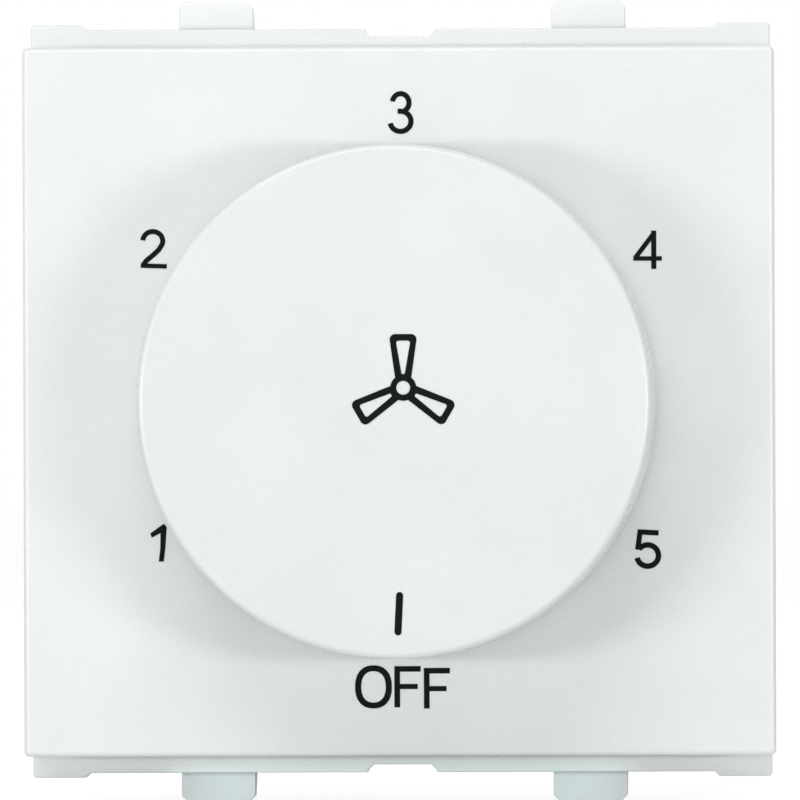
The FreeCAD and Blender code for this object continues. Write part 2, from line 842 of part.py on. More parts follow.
def contact_bridge():
    """Sprung bridge behind the rotor: one arm on the common ring, the other on the speed contacts."""
    inner = pivot_radius + bridge_hub_gap
    hub = rod(inner + bridge_hub_width, disc_rear_y, disc_rear_y + bridge_thickness)
    hub = hub.cut(rod(inner, disc_rear_y, disc_rear_y + bridge_thickness))
    common_arm = bridge_arm(ring_inner_radius + ring_width / 2, 90.0)
    speed_arm = bridge_arm(contact_radius, 270.0)
    return joined(hub, [common_arm, speed_arm])


def board_screws():
    """Two self-tapping screws through the board into the drilled posts."""
    screw = slotted_screw(board_screw_radius, board_screw_length, board_screw_head_radius,
                          board_screw_head_height, board_screw_slot_width, board_screw_slot_depth)
    screw.rotate(ORIGIN, vec(1, 0, 0), 180)
    placed = []
    for side in (-1, 1):
        copy = screw.copy()
        copy.translate(vec(side * post_x, board_front_y, side * post_z))
        placed.append(copy)
    return Part.Compound(placed)


def capacitor(height, depth, z):
    """A box film capacitor on four feet behind the board, with its two leads."""
    start_y = board_rear_y + capacitor_foot
    case = cut_slab(capacitor_width, height, capacitor_corner, start_y, start_y + depth, 0, z)
    foot_x = capacitor_width / 2 - capacitor_corner - capacitor_foot_width / 2
    foot_z = height / 2 - capacitor_corner - capacitor_foot_width / 2
    pieces = []
    for side in (-1, 1):
        pieces.append(square_bar(capacitor_lead, lead_end_y, start_y, side * capacitor_lead_pitch / 2, z))
        for level in (-1, 1):
            pieces.append(square_bar(capacitor_foot_width, board_rear_y, start_y, side * foot_x,
                                     z + level * foot_z))
    return joined(case, pieces)


def resistor(x):
    """An axial resistor behind the board, with its leads bent down into their holes."""
    y = board_rear_y + resistor_lift + resistor_radius
    half = resistor_length / 2
    body = Part.makeCylinder(resistor_radius, resistor_length, vec(x - half, y, resistor_z), vec(1, 0, 0))
    wire = resistor_lead / 2
    leads = []
    for side in (-1, 1):
        start = x + side * half
        end = x + side * resistor_lead_pitch / 2
        leads.append(outline_along_z([
            (start, y - wire),
            (end - side * wire, y - wire),
            (end - side * wire, lead_end_y),
            (end + side * wire, lead_end_y),
            (end + side * wire, y + wire),
            (start, y + wire),
        ], resistor_z - wire, resistor_z + wire))
    return joined(body, leads)


def terminal_plate():
    """Right terminal: a tapped plate on the bay's floor, with a collar and a leg to the board."""
    top_z = terminal_z + terminal_plate_height / 2
    plate = cut_slab(terminal_plate_width, terminal_plate_height, terminal_corner, bay_floor_y,
                     terminal_rear_y, terminal_x, terminal_z)
    half_leg = terminal_leg_width / 2
    leg = block(terminal_x - half_leg, terminal_x + half_leg, board_front_y, terminal_rear_y,
                top_z - terminal_plate_thickness, top_z)
    collar_y = bay_floor_y - terminal_collar_length
    collar = rod(terminal_collar_radius, collar_y, bay_floor_y, terminal_x, terminal_z)
    hole = rod(screw_hole_radius, collar_y - overshoot, terminal_rear_y + overshoot, terminal_x, terminal_z)
    return joined(plate, [leg, collar]).cut(hole)


def clamp_plate():
    """Right wire clamp, a plate with two gripping grooves, held open off the terminal."""
    plate = cut_slab(clamp_width, clamp_height, terminal_corner, clamp_front_y, clamp_rear_y, terminal_x,
                     terminal_z)
    cuts = [rod(screw_hole_radius, clamp_front_y - overshoot, clamp_rear_y + overshoot, terminal_x,
                terminal_z)]
    for level in (-1, 1):
        start = vec(terminal_x - clamp_width / 2 - overshoot,
                    clamp_front_y + clamp_groove_depth - clamp_groove_radius,
                    terminal_z + level * clamp_groove_z)
        cuts.append(Part.makeCylinder(clamp_groove_radius, clamp_width + 2 * overshoot, start,
                                      vec(1, 0, 0)))
    return plate.cut(cuts)


def terminal_screw():
    """Right terminal screw, backed off as the switch is supplied."""
    screw = slotted_screw(screw_radius, screw_length, screw_head_radius, screw_head_height,
                          screw_slot_width, screw_slot_depth)
    cross = block(-screw_cross_radius, screw_cross_radius, screw_head_height - screw_slot_depth,
                  screw_head_height + overshoot, -screw_slot_width / 2, screw_slot_width / 2)
    screw = screw.cut(cross)
    screw.translate(vec(terminal_x, clamp_rear_y, terminal_z))
    return screw


def knob():
    """Hollow dial with a boss on the flatted shaft and radial ribs."""
    inner_y = knob_front_y + knob_face_thickness
    inner_radius = knob_radius - knob_wall
    profile = [(0, knob_front_y)]
    for index in range(knob_edge_facets + 1):
        angle = math.pi / 2 * index / knob_edge_facets
        profile.append((knob_radius - knob_edge_radius * (1 - math.sin(angle)),
                        knob_front_y + knob_edge_radius * (1 - math.cos(angle))))
    profile += [(knob_radius, knob_rear_y), (inner_radius, knob_rear_y)]
    profile += [(inner_radius, inner_y), (0, inner_y)]
    rib_end_y = knob_rear_y - knob_rib_recess
    root_y = inner_y - knob_face_thickness / 2
    boss = rod(knob_boss_radius, root_y, knob_rear_y)
    half_rib = knob_rib_thickness / 2
    rib = block(knob_boss_radius - knob_wall / 2, inner_radius + knob_wall / 2, root_y, rib_end_y,
                -half_rib, half_rib)
    pitch = 360.0 / knob_rib_count
    ribs = [swung(rib, pitch * (index + 0.5)) for index in range(knob_rib_count)]
    shell = joined(turned(profile), [boss] + ribs)
    flat_z = shaft_radius - shaft_flat
    socket = rod(shaft_radius, shaft_end_y, knob_rear_y + overshoot)
    land = block(-shaft_radius, shaft_radius, shaft_end_y - overshoot, shaft_end_y + shaft_engagement,
                 flat_z, shaft_radius + overshoot)
    pocket_x = grip_width / 2 + part_gap
    pocket = block(-pocket_x, pocket_x, shaft_end_y, knob_rear_y + overshoot,
                   flat_z, flat_z + grip_thickness + grip_bow)
    return shell.cut([socket.cut(land), pocket])


def grip_spring():
    """Bowed strip in the knob's boss that presses on the shaft's flat."""
    flat_z = shaft_radius - shaft_flat
    start = shaft_end_y + part_gap + grip_thickness / 2
    end = start + grip_length
    middle = (start + end) / 2
    low = flat_z + grip_thickness / 2
    high = flat_z + grip_bow + grip_thickness / 2 - part_gap
    x = -grip_width / 2
    path = Part.Arc(vec(x, start, high), vec(x, middle, low), vec(x, end, high))
    return bent_strip([path.toShape()], grip_thickness, vec(grip_width, 0, 0))


def all_parts():
    """Every piece by its node's name."""
    parts = {
        "front_cover": front_cover(),
        "rear_housing": rear_housing(),
        "knob": knob(),
        "knob_grip_spring": grip_spring(),
        "rotor_spindle": rotor_spindle(),
        "contact_bridge": contact_bridge(),
        "detent_spring": detent_spring(),
        "switch_base": switch_base(),
        "switch_cover": switch_cover(),
        "common_contact": common_contact(),
        "circuit_board": circuit_board(),
        "board_screws": board_screws(),
        "large_capacitor": capacitor(large_capacitor_height, capacitor_depth, large_capacitor_z),
        "small_capacitor": capacitor(small_capacitor_height, small_capacitor_depth, small_capacitor_z),
        "bleed_resistor": resistor(-resistor_x),
        "surge_resistor": resistor(resistor_x),
    }
    for index, angle in enumerate(speed_angles()):
        parts["speed_contact_%d" % (index + 1)] = speed_contact(angle)
    for make in (terminal_plate, clamp_plate, terminal_screw):
        right = make()
        parts[make.__name__ + "_right"] = right
        parts[make.__name__ + "_left"] = mirrored_x(right)
    return parts


os.makedirs("parts", exist_ok=True)
for name, shape in all_parts().items():
    shape.exportStep(os.path.join("parts", name + ".step"))
    print(name, "valid" if shape.isValid() else "NOT VALID", len(shape.Solids), round(shape.Volume, 1))
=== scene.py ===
"""Looks of a two-module rotary fan speed switch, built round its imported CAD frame."""

import logging
import math
from dataclasses import dataclass
from enum import Enum

import bmesh
import bpy
from bmesh.types import BMEdge, BMesh, BMFace, BMVert
from bpy.types import Material, Mesh, Node, NodeInputs, NodeSocket, Object, World
from mathutils import Matrix, Vector

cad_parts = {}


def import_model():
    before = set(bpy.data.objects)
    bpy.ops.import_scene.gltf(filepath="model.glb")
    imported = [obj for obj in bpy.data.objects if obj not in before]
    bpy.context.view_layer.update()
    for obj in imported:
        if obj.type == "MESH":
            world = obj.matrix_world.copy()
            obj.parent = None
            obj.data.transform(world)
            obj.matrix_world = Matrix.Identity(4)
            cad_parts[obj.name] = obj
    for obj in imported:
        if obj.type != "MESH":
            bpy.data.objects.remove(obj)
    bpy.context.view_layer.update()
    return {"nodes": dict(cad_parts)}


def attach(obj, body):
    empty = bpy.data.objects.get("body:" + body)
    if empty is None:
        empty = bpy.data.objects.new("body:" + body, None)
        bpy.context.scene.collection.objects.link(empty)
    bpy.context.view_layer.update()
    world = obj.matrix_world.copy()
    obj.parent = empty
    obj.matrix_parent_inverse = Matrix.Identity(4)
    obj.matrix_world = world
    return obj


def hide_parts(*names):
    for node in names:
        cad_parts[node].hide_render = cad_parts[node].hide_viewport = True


Point = tuple[float, float]
Triple = tuple[float, float, float]
Rgba = tuple[float, float, float, float]

LOG = logging.getLogger("fan_switch")
MM = 0.001
DEPTH = Vector((0.0, 1.0, 0.0))
# Metres within which the points of a turned shape become one.
WELD = 0.00001
# Millimetres by which the shapes of one moulding run into each other.
LAP = 0.05
# Millimetres by which a cutting shape runs past what it cuts.
OVERRUN = 1.0
# The point in front of the plate that the camera and the lamps face, in metres.
STUDIO_TARGET = (0.00008, -0.007, 0.00008)


class Body(Enum):
    """The moving bodies of the switch."""

    HOUSING = "housing"
    DIAL = "dial"
    SCREW_RIGHT = "screw_right"
    SCREW_LEFT = "screw_left"
    CLAMP_RIGHT = "clamp_right"
    CLAMP_LEFT = "clamp_left"


def srgb(red: float, green: float, blue: float) -> Rgba:
    """Turn a screen colour into the linear colour that a shader takes.

    Args:
        red: Red from 0 to 255.
        green: Green from 0 to 255.
        blue: Blue from 0 to 255.

    Returns:
        The linear colour with full alpha.
    """
    shares = [value / 255.0 for value in (red, green, blue)]
    return (*(share / 12.92 if share <= 0.04045 else ((share + 0.055) / 1.055) ** 2.4
              for share in shares), 1.0)


def grey(value: float) -> Rgba:
    """Make the even tone of a value, for a ramp that holds values."""
    return (value, value, value, 1.0)


class NodeBoard:
    """A node tree with short ways to add and join its nodes."""

    def __init__(self, owner: Material | World) -> None:
        """Start with an empty tree.

        Args:
            owner: The new material or world that the tree belongs to.
        """
        self.owner = owner
        owner.use_nodes = True
        self.tree = owner.node_tree
        self.tree.nodes.clear()

    def add(self, kind: str, **settings: object) -> Node:
        """Add a node.

        Args:
            kind: The node's type name.
            settings: Attributes to set on it.

        Returns:
            The new node.
        """
        node = self.tree.nodes.new(kind)
        for key, value in settings.items():
            setattr(node, key, value)
        return node

    def join(self, source: NodeSocket, target: NodeSocket) -> None:
        """Link one socket to another."""
        self.tree.links.new(source, target)

    def noise(self, scale: float, detail: float, roughness: float = 0.5,
              stretch: Triple = (1.0, 1.0, 1.0)) -> NodeSocket:
        """Add noise over the piece's own coordinates.

        Args:
            scale: Features per metre.
            detail: Octaves of the noise.
            roughness: Share that each octave keeps.
            stretch: How much finer it is along each axis.

        Returns:
            The noise's value.
        """
        place = self.add("ShaderNodeTexCoord")
        mapping = self.add("ShaderNodeMapping")
        mapping.inputs["Scale"].default_value = stretch
        noise = self.add("ShaderNodeTexNoise")
        noise.inputs["Scale"].default_value = scale
        noise.inputs["Detail"].default_value = detail
        noise.inputs["Roughness"].default_value = roughness
        self.join(place.outputs["Object"], mapping.inputs["Vector"])
        self.join(mapping.outputs["Vector"], noise.inputs["Vector"])
        return noise.outputs["Fac"]

    def ramp(self, source: NodeSocket, stops: list[tuple[float, Rgba]],
             target: NodeSocket) -> Node:
        """Add a colour ramp between two sockets.

        Args:
            source: The value that runs over the ramp.
            stops: Places from 0 to 1 with their colours.
            target: The socket that takes the ramp's colour.

        Returns:
            The ramp node.
        """
        ramp = self.add("ShaderNodeValToRGB")
        elements = ramp.color_ramp.elements
        while len(elements) < len(stops):
            elements.new(0.5)
        for element, (place, colour) in zip(elements, stops):
            element.position = place
            element.color = colour
        self.join(source, ramp.inputs["Fac"])
        self.join(ramp.outputs["Color"], target)
        return ramp

    def bump(self, height: NodeSocket, strength: float, depth: float, target: NodeSocket) -> Node:
        """Add a bump.

        Args:
            height: The height to follow.
            strength: How much of it shows.
            depth: Its depth in metres.
            target: The socket that takes its normal, of a shader or of a bump that lies on it.

        Returns:
            The bump node.
        """
        bump = self.add("ShaderNodeBump")
        bump.inputs["Strength"].default_value = strength
        bump.inputs["Distance"].default_value = depth
        self.join(height, bump.inputs["Height"])
        self.join(bump.outputs["Normal"], target)
        return bump

    def shader(self, roughness: float, metallic: float = 0.0) -> NodeInputs:
        """Add the main shader and the output that shows it.

        Args:
            roughness: Roughness where nothing is linked.
            metallic: 1 for bare metal, otherwise 0.

        Returns:
            The shader's inputs.
        """
        shader = self.add("ShaderNodeBsdfPrincipled")
        shader.inputs["Roughness"].default_value = roughness
        shader.inputs["Metallic"].default_value = metallic
        output = self.add("ShaderNodeOutputMaterial")
        self.join(shader.outputs["BSDF"], output.inputs["Surface"])
        return shader.inputs


@dataclass(frozen=True)
class MouldedPlastic:
    """Moulded plastic: a faint cloudiness, a slow ripple and a fine grain."""

    name: str
    slot: str
    colour: Triple
    cloud: float = 2.0
    roughness: float = 0.28
    grain_scale: float = 9000.0
    grain: float = 0.05
    ripple: float = 0.04
    cloud_scale: float = 140.0
    ripple_scale: float = 420.0

    def material(self) -> Material:
        """Build the material.

        Returns:
            The new material.
        """
        board = NodeBoard(bpy.data.materials.new(self.name))
        inputs = board.shader(self.roughness)
        dark = srgb(*(channel - self.cloud for channel in self.colour))
        light = srgb(*(min(channel + self.cloud, 255.0) for channel in self.colour))
        board.ramp(board.noise(self.cloud_scale, 3.0), [(0.3, dark), (0.7, light)],
                   inputs["Base Color"])
        grain = board.noise(self.grain_scale, 2.0, 0.6)
        board.ramp(grain, [(0.3, grey(self.roughness - 0.04)), (0.7, grey(self.roughness + 0.05))],
                   inputs["Roughness"])
        fine = board.bump(grain, self.grain, 0.00003, inputs["Normal"])
        board.bump(board.noise(self.ripple_scale, 1.0), self.ripple, 0.0002, fine.inputs["Normal"])
        return board.owner


@dataclass(frozen=True)
class SheetMetal:
    """Rolled or plated metal: drawn-out scratches and a slow change of tone."""

    name: str
    slot: str
    colour: Triple
    shade: Triple
    roughness: float = 0.3
    draw: Triple = (1.0, 12.0, 12.0)
    scratch_scale: float = 900.0
    tone_scale: float = 500.0

    def material(self) -> Material:
        """Build the material.

        Returns:
            The new material.
        """
        board = NodeBoard(bpy.data.materials.new(self.name))
        inputs = board.shader(self.roughness, 1.0)
        board.ramp(board.noise(self.tone_scale, 3.0),
                   [(0.35, srgb(*self.shade)), (0.65, srgb(*self.colour))],
                   inputs["Base Color"])
        lines = board.noise(self.scratch_scale, 4.0, stretch=self.draw)
        board.ramp(lines, [(0.3, grey(self.roughness - 0.08)), (0.7, grey(self.roughness + 0.12))],
                   inputs["Roughness"])
        board.bump(lines, 0.12, 0.00004, inputs["Normal"])
        return board.owner


@dataclass(frozen=True)
class BoardLaminate:
    """Paper laminate of the circuit board: two tones of fibre under a thin lacquer."""

    name: str
    slot: str
    colour: Triple
    fibre: Triple
    fibre_scale: float = 2600.0

    def material(self) -> Material:
        """Build the material.

        Returns:
            The new material.
        """
        board = NodeBoard(bpy.data.materials.new(self.name))
        inputs = board.shader(0.42)
        inputs["Coat Weight"].default_value = 0.25
        inputs["Coat Roughness"].default_value = 0.2
        fibre = board.noise(self.fibre_scale, 6.0, 0.7)
        board.ramp(fibre, [(0.35, srgb(*self.fibre)), (0.7, srgb(*self.colour))],
                   inputs["Base Color"])
        board.bump(fibre, 0.1, 0.00003, inputs["Normal"])
        return board.owner


@dataclass(frozen=True)
class ResistorLacquer:
    """Lacquered resistor with painted bands across its length, in millimetres."""

    name: str
    slot: str
    colour: Triple
    bands: tuple[Triple, ...]
    centre_x: float
    band_pitch: float = 1.5
    band_width: float = 0.7
    grain_scale: float = 3000.0

    def material(self) -> Material:
        """Build the material.

        Returns:
            The new material.
        """
        board = NodeBoard(bpy.data.materials.new(self.name))
        inputs = board.shader(0.38)
        place = board.add("ShaderNodeTexCoord")
        split = board.add("ShaderNodeSeparateXYZ")
        board.join(place.outputs["Object"], split.inputs["Vector"])
        across = board.add("ShaderNodeMapRange")
        half = self.band_pitch * (len(self.bands) + 1) / 2
        across.inputs["From Min"].default_value = (self.centre_x - half) * MM
        across.inputs["From Max"].default_value = (self.centre_x + half) * MM
        board.join(split.outputs["X"], across.inputs["Value"])
        ground = srgb(*self.colour)
        reach = self.band_width / 2 / (2 * half)
        stops = [(0.0, ground)]
        for index, band in enumerate(self.bands):
            middle = (index + 1) / (len(self.bands) + 1)
            stops += [(middle - reach, srgb(*band)), (middle + reach, ground)]
        paint = board.ramp(across.outputs["Result"], stops, inputs["Base Color"])
        paint.color_ramp.interpolation = "CONSTANT"
        board.bump(board.noise(self.grain_scale, 3.0), 0.15, 0.00004, inputs["Normal"])
        return board.owner


@dataclass(frozen=True)
class PrintedInk:
    """Near-black pad print with a slightly uneven film."""

    name: str
    slot: str
    colour: Triple
    unevenness: float = 6.0
    film_scale: float = 5200.0

    def material(self) -> Material:
        """Build the material.

        Returns:
            The new material.
        """
        board = NodeBoard(bpy.data.materials.new(self.name))
        inputs = board.shader(0.6)
        inputs["Specular IOR Level"].default_value = 0.08
        film = board.noise(self.film_scale, 3.0)
        light = srgb(*(channel + self.unevenness for channel in self.colour))
        board.ramp(film, [(0.35, srgb(*self.colour)), (0.75, light)], inputs["Base Color"])
        board.bump(film, 0.1, 0.00001, inputs["Normal"])
        return board.owner


Finish = MouldedPlastic | SheetMetal | BoardLaminate | ResistorLacquer | PrintedInk

BROWN_BAND = (74, 48, 34)
BLACK_BAND = (42, 40, 40)
YELLOW_BAND = (214, 182, 60)
GOLD_BAND = (170, 132, 60)

COVER_PLASTIC = MouldedPlastic("cover_plastic", "white_plastic", (230, 233, 231), grain=0.03)
KNOB_PLASTIC = MouldedPlastic("knob_plastic", "knob_plastic", (226, 229, 226), grain=0.02)
HOUSING_PLASTIC = MouldedPlastic("housing_plastic", "housing_plastic", (239, 241, 242),
                                 2.0, 0.36, 4200.0, 0.12, 0.05)
ROTOR_PLASTIC = MouldedPlastic("rotor_plastic", "rotor_plastic", (228, 225, 214), 3.0, 0.42)
SWITCH_PLASTIC = MouldedPlastic("switch_plastic", "switch_plastic", (62, 63, 66),
                                4.0, 0.5, 3600.0, 0.2, 0.05)
CAPACITOR_RESIN = MouldedPlastic("capacitor_resin", "capacitor_case", (196, 199, 203),
                                 3.0, 0.35, 5200.0, 0.08, 0.1)
SPRING_STEEL = SheetMetal("spring_steel", "spring_steel", (205, 206, 204),
                          (176, 178, 179), 0.26)
PLATED_STEEL = SheetMetal("plated_steel", "plated_steel", (214, 212, 204),
                          (188, 187, 180), 0.3)
CONTACT_BRONZE = SheetMetal("contact_bronze", "contact_bronze", (222, 178, 128),
                            (196, 148, 104), 0.28)
TERMINAL_BRASS = SheetMetal("terminal_brass", "terminal_brass", (226, 200, 136),
                            (201, 172, 108), 0.28)
BOARD_LAMINATE = BoardLaminate("board_laminate", "board_laminate", (189, 158, 104),
                               (150, 116, 66))
BLEED_LACQUER = ResistorLacquer("bleed_lacquer", "resistor_body", (196, 172, 132),
                                (BROWN_BAND, BLACK_BAND, YELLOW_BAND, GOLD_BAND), -8.0)
SURGE_LACQUER = ResistorLacquer("surge_lacquer", "resistor_body", (120, 152, 168),
                                (BROWN_BAND, BLACK_BAND, BLACK_BAND, GOLD_BAND), 8.0)
MARK_INK = PrintedInk("mark_ink", "white_plastic", (10, 17, 18))


def smooth_by_angle(mesh: Mesh, degrees: float = 35.0) -> None:
    """Shade a mesh smooth and keep its edges sharp past an angle.

    Args:
        mesh: The mesh to shade.
        degrees: The angle past which an edge stays sharp.
    """
    mesh.shade_smooth()
    work = bmesh.new()
    work.from_mesh(mesh)
    for edge in work.edges:
        edge.smooth = edge.calc_face_angle(0.0) < math.radians(degrees)
    work.to_mesh(mesh)
    work.free()


def object_from(work: BMesh, name: str) -> Object:
    """Turn finished mesh work into an object of the scene.

    Args:
        work: The mesh work, in metres and in place. It is freed.
        name: The object's name.

    Returns:
        The new object.
    """
    bmesh.ops.recalc_face_normals(work, faces=work.faces)
    mesh = bpy.data.meshes.new(name)
    work.to_mesh(mesh)
    work.free()
    thing = bpy.data.objects.new(name, mesh)
    bpy.context.collection.objects.link(thing)
    return thing


def piece_from(work: BMesh, name: str, finish: Finish, body: Body,
               replaced: tuple[str, ...] = ()) -> Object:
    """Turn finished mesh work into a piece that rides on a body.

    Args:
        work: The mesh work, in metres and in place. It is freed.
        name: The piece's name.
        finish: Its finish.
        body: The body that carries it.
        replaced: CAD nodes that it stands for.

    Returns:
        The new object.
    """
    piece = object_from(work, name)
    smooth_by_angle(piece.data)
    piece.data.materials.append(finish.material())
    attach(piece, body.value)
    if replaced:
        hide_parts(*replaced)
    LOG.info("%s: %d faces on %s", name, len(piece.data.polygons), body.value)
    return piece


def settle(piece: Object) -> None:
    """Make a piece's modifiers part of its mesh.

    Args:
        piece: The piece. Its mesh is replaced.
    """
    bpy.context.view_layer.update()
    shaped = bpy.data.meshes.new_from_object(
        piece.evaluated_get(bpy.context.evaluated_depsgraph_get()))
    piece.modifiers.clear()
    old = piece.data
    piece.data = shaped
    bpy.data.meshes.remove(old)


def cut_by(piece: Object, tools: list[BMesh]) -> None:
    """Cut shapes out of a piece.

    Args:
        piece: The piece to cut. Its mesh changes.
        tools: Closed cutting shapes. They are freed.
    """
    for tool in tools:
        cutter = object_from(tool, "cutter")
        modifier = piece.modifiers.new("cut", "BOOLEAN")
        modifier.operation = "DIFFERENCE"
        modifier.solver = "EXACT"
        modifier.object = cutter
        settle(piece)
        bpy.data.objects.remove(cutter)
    smooth_by_angle(piece.data)


def add_block(work: BMesh, low: Triple, high: Triple) -> list[BMVert]:
    """Add a block between two corners given in millimetres.

    Args:
        work: The mesh work.
        low: Its lowest corner.
        high: Its highest corner.

    Returns:
        Its vertices.
    """
    verts = bmesh.ops.create_cube(work, size=1.0)["verts"]
    size = [(high[axis] - low[axis]) * MM for axis in range(3)]
    middle = [(high[axis] + low[axis]) / 2 * MM for axis in range(3)]
    bmesh.ops.scale(work, vec=size, verts=verts)
    bmesh.ops.translate(work, vec=middle, verts=verts)
    return verts


def draw_out(work: BMesh, faces: list[BMFace], way: Triple) -> None:
    """Draw faces out into a solid.

    Args:
        work: The mesh work.
        faces: The faces at the near end.
        way: How far they are drawn along each axis, in millimetres.
    """
    grown = bmesh.ops.extrude_face_region(work, geom=faces)["geom"]
    far = [item for item in grown if isinstance(item, BMVert)]
    bmesh.ops.translate(work, vec=Vector(way) * MM, verts=far)


def draw_outline(work: BMesh, outline: list[Point], y_from: float, y_to: float) -> None:
    """Draw a flat (x, z) outline out along the depth.

    Args:
        work: The mesh work.
        outline: Its corners in millimetres.
        y_from: Depth of the near face in millimetres.
        y_to: Depth of the far face in millimetres.
    """
    near = [work.verts.new((x * MM, y_from * MM, z * MM)) for x, z in outline]
    draw_out(work, [work.faces.new(near)], (0.0, y_to - y_from, 0.0))


def draw_band(work: BMesh, outlines: tuple[list[Point], list[Point]], y_from: float,
              y_to: float) -> None:
    """Draw the band between two flat (x, z) outlines out along the depth.

    Args:
        work: The mesh work.
        outlines: The outer and the inner outline in millimetres, with as many corners.
        y_from: Depth of the near face in millimetres.
        y_to: Depth of the far face in millimetres.
    """
    loops = []
    for outline in outlines:
        verts = [work.verts.new((x * MM, y_from * MM, z * MM)) for x, z in outline]
        loops += [work.edges.new((verts[i - 1], verts[i])) for i in range(len(verts))]
    band = bmesh.ops.bridge_loops(work, edges=loops)["faces"]
    draw_out(work, band, (0.0, y_to - y_from, 0.0))


def spin(work: BMesh, profile: list[Point], steps: int, centre: Point = (0.0, 0.0),
         closed: bool = False, turns: int = 1, pitch: float = 0.0) -> None:
    """Turn a (radius, depth) profile into a round shape or wind it into a helix.

    Args:
        work: The mesh work.
        profile: Its points in millimetres, from the axis outwards and back.
        steps: Flats of one turn.
        centre: The axis, as (x, z) in millimetres.
        closed: Whether the last point joins the first.
        turns: Turns of a helix.
        pitch: How far a turn of a helix climbs, in millimetres.
    """
    x, z = centre
    verts = [work.verts.new(((x + radius) * MM, y * MM, z * MM)) for radius, y in profile]
    pairs = list(zip(verts, verts[1:]))
    if closed:
        pairs.append((verts[-1], verts[0]))
    bmesh.ops.spin(work, geom=verts + [work.edges.new(pair) for pair in pairs],
                   cent=(x * MM, 0.0, z * MM), axis=DEPTH, dvec=(0.0, pitch / steps * MM, 0.0),
                   angle=2 * math.pi * turns, steps=steps * turns, use_merge=pitch == 0.0)
    if pitch == 0.0:
        bmesh.ops.remove_doubles(work, verts=work.verts, dist=WELD)


def arc(middle: Point, across: float, up: float, start: float, end: float, steps: int,
        squareness: float = 2.0) -> list[Point]:
    """List points on part of an oval.

    Args:
        middle: Its middle, as (x, z).
        across: Half its width.
        up: Half its height.
        start: The first point's angle in degrees.
        end: The last point's angle in degrees.
        steps: Steps between them.
        squareness: 2 for an ellipse, more for fuller corners.

    Returns:
        The points.
    """
    points = []
    for index in range(steps + 1):
        turn = math.radians(start + (end - start) * index / steps)
        c = math.cos(turn)
        s = math.sin(turn)
        points.append((middle[0] + across * math.copysign(abs(c) ** (2 / squareness), c),
                       middle[1] + up * math.copysign(abs(s) ** (2 / squareness), s)))
    return points


def rounding(radius: float, y: float, size: float, steps: int) -> list[Point]:
    """List a quarter round of a profile, from an end face to the wall.

    Args:
        radius: The wall's radius.
        y: Depth of the end face.
        size: The rounding's size, negative where the shape lies in front of the face.
        steps: Steps of the rounding.

    Returns:
        The (radius, depth) points.
    """
    turns = [math.pi / 2 * index / steps for index in range(steps + 1)]
    return [(radius - abs(size) * (1 - math.sin(turn)), y + size * (1 - math.cos(turn)))
            for turn in turns]


def edges_at(work: BMesh, y: float) -> list[BMEdge]:
    """List the edges that lie at a depth in millimetres."""
    return [edge for edge in work.edges
            if all(abs(vert.co.y - y * MM) < MM / 10 for vert in edge.verts)]


def deep_edges(work: BMesh) -> list[BMEdge]:
    """List a block's edges that run along the depth."""
    return [edge for edge in work.edges
            if abs((edge.verts[0].co - edge.verts[1].co).dot(DEPTH)) > MM / 2]


def bevel(work: BMesh, edges: list[BMEdge], width: float, segments: int) -> None:
    """Round edges.

    Args:
        work: The mesh work.
        edges: The edges to round.
        width: How far the rounding reaches, in millimetres.
        segments: Steps of the rounding.
    """
    bmesh.ops.bevel(work, geom=edges, offset=width * MM, offset_type="OFFSET", segments=segments,
                    profile=0.5, affect="EDGES", clamp_overlap=True, material=-1)


